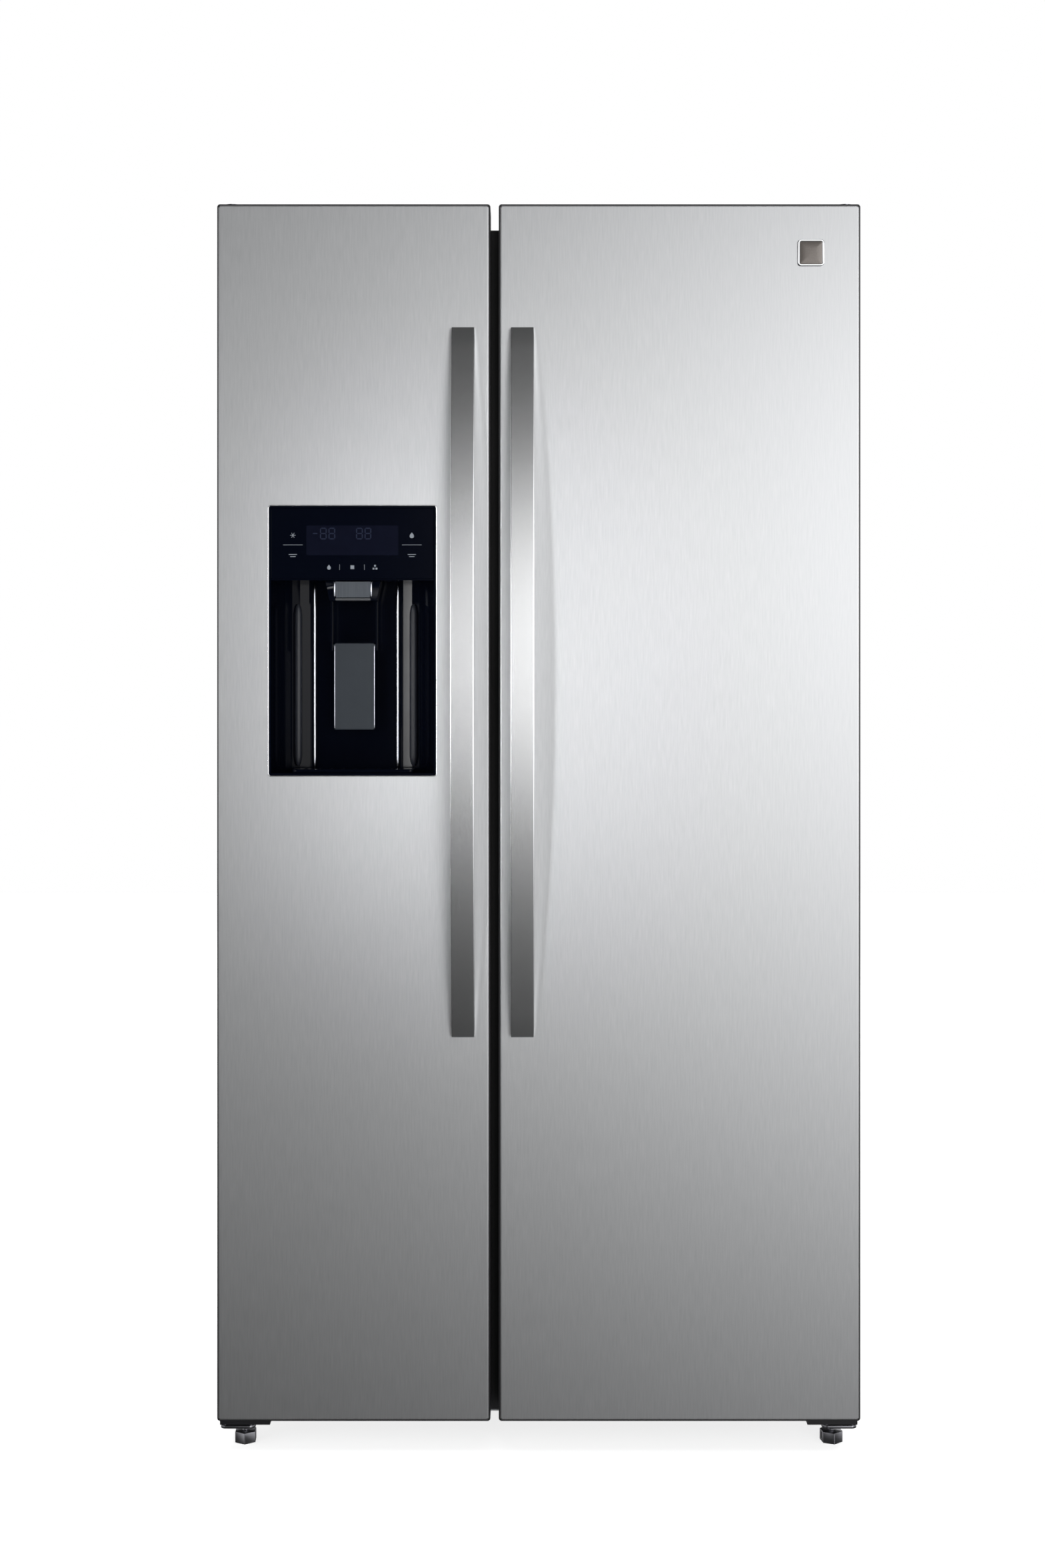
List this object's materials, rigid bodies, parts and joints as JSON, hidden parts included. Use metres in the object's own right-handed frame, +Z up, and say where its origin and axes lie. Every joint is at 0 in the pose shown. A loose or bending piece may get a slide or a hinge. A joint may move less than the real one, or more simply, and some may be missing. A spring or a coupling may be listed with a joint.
{
  "type": "side by side refrigerator",
  "caption": "Free-standing two-door cabinet fridge and freezer with bowed bar handles, a door dispenser recess, swinging doors and sliding drawers.",
  "frame": {"origin": "on the floor, at the middle of the footprint from the handles' fronts to the cabinet's back", "axes": "+Z up, +Y towards the back of the cabinet, +X to the right for someone facing the doors"},
  "size_m": [0.91, 0.85, 1.772],
  "materials": {
    "brushed_steel": "vertical brushed grain, satin",
    "polished_steel": "polished",
    "charcoal_paint": "low gloss",
    "zinc_steel": "zinc plated, dull",
    "white_plastic": "smooth moulded",
    "clear_plastic": "clear, polished",
    "shelf_glass": "clear",
    "black_gloss_plastic": "high gloss",
    "dark_grey_plastic": "fine texture",
    "slate_plastic": "satin",
    "gasket_rubber": "matte",
    "black_enamel": "baked enamel, satin",
    "bare_aluminium": "mill finish",
    "insulation_foam": "closed cell foam"
  },
  "bodies": {
    "cabinet": {"cabinet_shell": "charcoal_paint", "face_frame": "charcoal_paint", "rear_panel": "zinc_steel", "machine_cover": "dark_grey_plastic", "base_pan": "zinc_steel", "cabinet_insulation": "insulation_foam", "freezer_liner": "white_plastic", "fridge_liner": "white_plastic", "top_hinge_left": "zinc_steel", "top_hinge_right": "zinc_steel", "hinge_cover_left": "dark_grey_plastic", "hinge_cover_right": "dark_grey_plastic", "lower_hinge_left": "zinc_steel", "lower_hinge_right": "zinc_steel", "compressor": "black_enamel", "condenser": "black_enamel", "evaporator_cover": "white_plastic", "evaporator": "bare_aluminium", "ice_maker": "white_plastic", "ice_bucket": "clear_plastic", "freezer_shelf": "shelf_glass", "fridge_shelf_1": "shelf_glass", "fridge_shelf_2": "shelf_glass", "crisper_cover": "shelf_glass", "air_duct": "white_plastic"},
    "freezer_door": {"freezer_door_skin": "brushed_steel", "freezer_door_edge": "charcoal_paint", "freezer_door_foam": "insulation_foam", "freezer_door_liner": "white_plastic", "freezer_door_gasket": "gasket_rubber", "freezer_door_handle": "polished_steel", "freezer_door_bin_1": "clear_plastic", "freezer_door_bin_2": "clear_plastic", "dispenser_housing": "black_gloss_plastic", "control_panel": "black_gloss_plastic", "dispenser_chute": "dark_grey_plastic", "drip_tray": "dark_grey_plastic"},
    "fridge_door": {"fridge_door_skin": "brushed_steel", "fridge_door_edge": "charcoal_paint", "fridge_door_foam": "insulation_foam", "fridge_door_liner": "white_plastic", "fridge_door_gasket": "gasket_rubber", "fridge_door_handle": "polished_steel", "fridge_door_bin_1": "clear_plastic", "fridge_door_bin_2": "clear_plastic", "dairy_box": "clear_plastic", "badge": "polished_steel"},
    "paddle": {"dispenser_paddle": "slate_plastic"},
    "dairy_flap": {"dairy_cover": "clear_plastic"},
    "upper_freezer_drawer": {"freezer_drawer_1": "clear_plastic"},
    "lower_freezer_drawer": {"freezer_drawer_2": "clear_plastic"},
    "upper_crisper": {"crisper_1": "clear_plastic"},
    "lower_crisper": {"crisper_2": "clear_plastic"},
    "cold_fan": {"evaporator_fan": "slate_plastic"},
    "warm_fan": {"condenser_fan": "slate_plastic"},
    "auger": {"ice_auger": "bare_aluminium"},
    "left_foot": {"levelling_foot_left": "zinc_steel"},
    "right_foot": {"levelling_foot_right": "zinc_steel"},
    "left_roller": {"rear_roller_left": "dark_grey_plastic"},
    "right_roller": {"rear_roller_right": "dark_grey_plastic"}
  },
  "joints": [
    {"name": "freezer_door_hinge", "type": "hinge", "parent": "cabinet", "child": "freezer_door", "pos_m": [-0.436, -0.34, 0.9], "axis": [0, 0, -1], "range_deg": [0, 125]},
    {"name": "fridge_door_hinge", "type": "hinge", "parent": "cabinet", "child": "fridge_door", "pos_m": [0.436, -0.34, 0.9], "axis": [0, 0, 1], "range_deg": [0, 125]},
    {"name": "paddle_pivot", "type": "hinge", "parent": "freezer_door", "child": "paddle", "pos_m": [-0.26335, -0.327, 1.1449], "axis": [1, 0, 0], "range_deg": [0, 10], "stiffness_Nm_per_rad": 0.3, "springref_deg": -11.46},
    {"name": "dairy_cover_hinge", "type": "hinge", "parent": "fridge_door", "child": "dairy_flap", "pos_m": [0.186, -0.215, 1.61], "axis": [1, 0, 0], "range_deg": [0, 95]},
    {"name": "upper_freezer_drawer_slide", "type": "slide", "parent": "cabinet", "child": "upper_freezer_drawer", "axis": [0, -1, 0], "range_m": [0, 0.22]},
    {"name": "lower_freezer_drawer_slide", "type": "slide", "parent": "cabinet", "child": "lower_freezer_drawer", "axis": [0, -1, 0], "range_m": [0, 0.22]},
    {"name": "upper_crisper_slide", "type": "slide", "parent": "cabinet", "child": "upper_crisper", "axis": [0, -1, 0], "range_m": [0, 0.22]},
    {"name": "lower_crisper_slide", "type": "slide", "parent": "cabinet", "child": "lower_crisper", "axis": [0, -1, 0], "range_m": [0, 0.22]},
    {"name": "cold_fan_spin", "type": "hinge", "parent": "cabinet", "child": "cold_fan", "pos_m": [-0.24675, 0.304, 0.73], "axis": [0, 1, 0], "continuous": true},
    {"name": "warm_fan_spin", "type": "hinge", "parent": "cabinet", "child": "warm_fan", "pos_m": [-0.0025, 0.3, 0.148], "axis": [0, 1, 0], "continuous": true},
    {"name": "auger_spin", "type": "hinge", "parent": "cabinet", "child": "auger", "pos_m": [-0.24675, 0, 1.3925], "axis": [0, 1, 0], "continuous": true},
    {"name": "left_foot_turn", "type": "hinge", "parent": "cabinet", "child": "left_foot", "pos_m": [-0.422, -0.308, 0.01], "axis": [0, 0, 1], "continuous": true},
    {"name": "right_foot_turn", "type": "hinge", "parent": "cabinet", "child": "right_foot", "pos_m": [0.422, -0.308, 0.01], "axis": [0, 0, 1], "continuous": true},
    {"name": "left_roller_spin", "type": "hinge", "parent": "cabinet", "child": "left_roller", "pos_m": [-0.378, 0.365, 0.017], "axis": [1, 0, 0], "continuous": true},
    {"name": "right_roller_spin", "type": "hinge", "parent": "cabinet", "child": "right_roller", "pos_m": [0.378, 0.365, 0.017], "axis": [1, 0, 0], "continuous": true}
  ],
  "couplings": [
    {"joint": "upper_freezer_drawer_slide", "follows": "freezer_door_hinge", "m_per_rad": 0.1},
    {"joint": "lower_freezer_drawer_slide", "follows": "freezer_door_hinge", "m_per_rad": 0.1},
    {"joint": "upper_crisper_slide", "follows": "fridge_door_hinge", "m_per_rad": 0.1},
    {"joint": "lower_crisper_slide", "follows": "fridge_door_hinge", "m_per_rad": 0.1}
  ]
}
